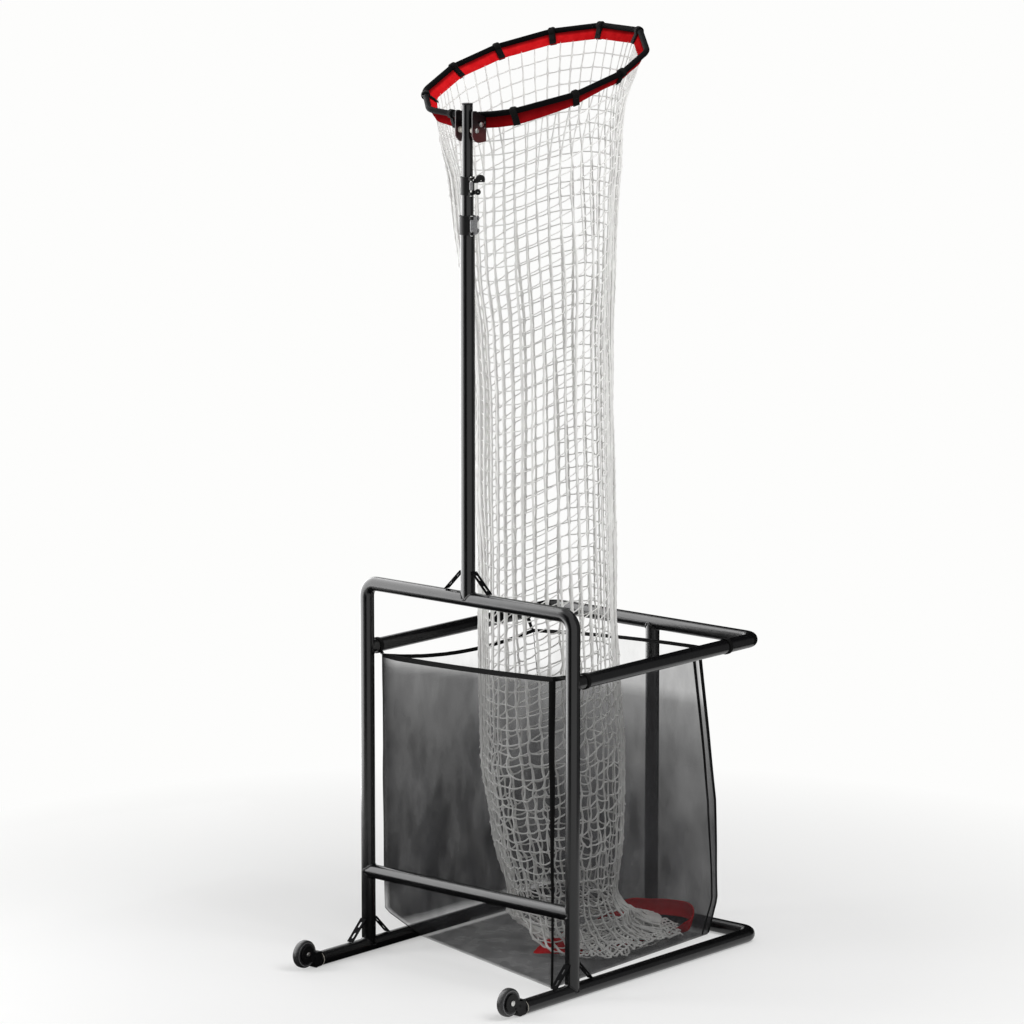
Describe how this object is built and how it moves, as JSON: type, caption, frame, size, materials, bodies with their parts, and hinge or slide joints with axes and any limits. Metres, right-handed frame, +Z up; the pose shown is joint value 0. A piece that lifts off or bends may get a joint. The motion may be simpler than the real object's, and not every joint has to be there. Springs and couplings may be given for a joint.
{
  "type": "volleyball setter target",
  "caption": "Wheeled steel frame with a telescoping mast, a tilting hoop, and a hanging net chute that drops balls into a mesh basket.",
  "frame": {"origin": "floor level, at the middle of the footprint's bounding box", "axes": "+Z up along the mast, +X to the right of someone who faces the mast side, +Y from the mast side to the back rails"},
  "size_m": [0.7592, 1.0754, 2.4805],
  "materials": {
    "powder_coated_steel": "black powder coat, semi-gloss",
    "glass_filled_nylon": "black, satin",
    "cast_lever": "dark grey, satin",
    "zinc_plated_steel": "bright zinc",
    "painted_plate": "black with a dark red lower part",
    "wheel_rubber": "black, matte",
    "wheel_hub": "black, satin",
    "natural_nylon": "natural white",
    "red_vinyl": "red, slightly glossy coated cloth",
    "black_webbing": "black woven webbing",
    "white_net_cord": "white knotted cord",
    "black_mesh_cloth": "black open mesh cloth"
  },
  "bodies": {
    "frame": {"base_rail": "powder_coated_steel", "front_frame": "powder_coated_steel", "basket_rail": "powder_coated_steel", "front_crossbar": "powder_coated_steel", "rear_upright": "powder_coated_steel", "mast_gusset_left": "powder_coated_steel", "mast_gusset_right": "powder_coated_steel", "left_leg_gusset_front": "powder_coated_steel", "left_leg_gusset_back": "powder_coated_steel", "right_leg_gusset_front": "powder_coated_steel", "right_leg_gusset_back": "powder_coated_steel", "mast_lower": "powder_coated_steel", "mast_guide_bush": "natural_nylon", "lower_clamp_collar": "glass_filled_nylon", "lower_clamp_pin": "zinc_plated_steel", "left_caster_housing": "glass_filled_nylon", "right_caster_housing": "glass_filled_nylon", "left_axle": "zinc_plated_steel", "right_axle": "zinc_plated_steel", "basket_cloth": "black_mesh_cloth", "basket_binding": "black_webbing", "basket_loop_front_left": "black_webbing", "basket_loop_front_right": "black_webbing", "basket_loop_back_right": "black_webbing", "basket_loop_back_left": "black_webbing", "net_tail": "white_net_cord", "net_end_band": "red_vinyl"},
    "lower_lever": {"lower_clamp_lever": "cast_lever"},
    "mast_middle_tube": {"mast_middle": "powder_coated_steel", "mast_end_glide": "natural_nylon", "upper_clamp_collar": "glass_filled_nylon", "upper_clamp_pin": "zinc_plated_steel"},
    "upper_lever": {"upper_clamp_lever": "cast_lever"},
    "mast_upper_tube": {"mast_upper": "powder_coated_steel", "mast_top_cap": "glass_filled_nylon", "mast_saddle": "powder_coated_steel", "pivot_spacer_left": "natural_nylon", "pivot_spacer_right": "natural_nylon", "hoop_pivot_bolt": "zinc_plated_steel", "hoop_lock_bolt": "zinc_plated_steel", "net_chute": "white_net_cord"},
    "hoop": {"hoop_ring": "powder_coated_steel", "hoop_plate_left": "painted_plate", "hoop_plate_right": "painted_plate", "hoop_band": "red_vinyl", "net_collar": "white_net_cord", "hoop_strap_01": "black_webbing", "hoop_strap_02": "black_webbing", "hoop_strap_03": "black_webbing", "hoop_strap_04": "black_webbing", "hoop_strap_05": "black_webbing", "hoop_strap_06": "black_webbing", "hoop_strap_07": "black_webbing", "hoop_strap_08": "black_webbing", "hoop_strap_09": "black_webbing", "hoop_strap_10": "black_webbing"},
    "left_wheel": {"left_tyre": "wheel_rubber", "left_hub": "wheel_hub"},
    "right_wheel": {"right_tyre": "wheel_rubber", "right_hub": "wheel_hub"}
  },
  "joints": [
    {"name": "mast_middle_slide", "type": "slide", "parent": "frame", "child": "mast_middle_tube", "axis": [0, 0, 1], "range_m": [0, 0.3]},
    {"name": "mast_upper_slide", "type": "slide", "parent": "mast_middle_tube", "child": "mast_upper_tube", "axis": [0, 0, 1], "range_m": [0, 0.3]},
    {"name": "hoop_tilt", "type": "hinge", "parent": "mast_upper_tube", "child": "hoop", "pos_m": [0, -0.24447, 2.2377], "axis": [1, 0, 0], "range_deg": [-20, 12], "deforming": ["net_collar"]},
    {"name": "left_wheel_spin", "type": "hinge", "parent": "frame", "child": "left_wheel", "pos_m": [-0.358, -0.50038, 0.0435], "axis": [1, 0, 0], "continuous": true},
    {"name": "right_wheel_spin", "type": "hinge", "parent": "frame", "child": "right_wheel", "pos_m": [0.358, -0.50038, 0.0435], "axis": [1, 0, 0], "continuous": true},
    {"name": "lower_lever_hinge", "type": "hinge", "parent": "frame", "child": "lower_lever", "pos_m": [0.02497, -0.25802, 1.99305], "axis": [0, 0, 1], "range_deg": [-100, 0]},
    {"name": "upper_lever_hinge", "type": "hinge", "parent": "mast_middle_tube", "child": "upper_lever", "pos_m": [0.0222, -0.25673, 2.09475], "axis": [0, 0, 1], "range_deg": [-42, 51]}
  ]
}
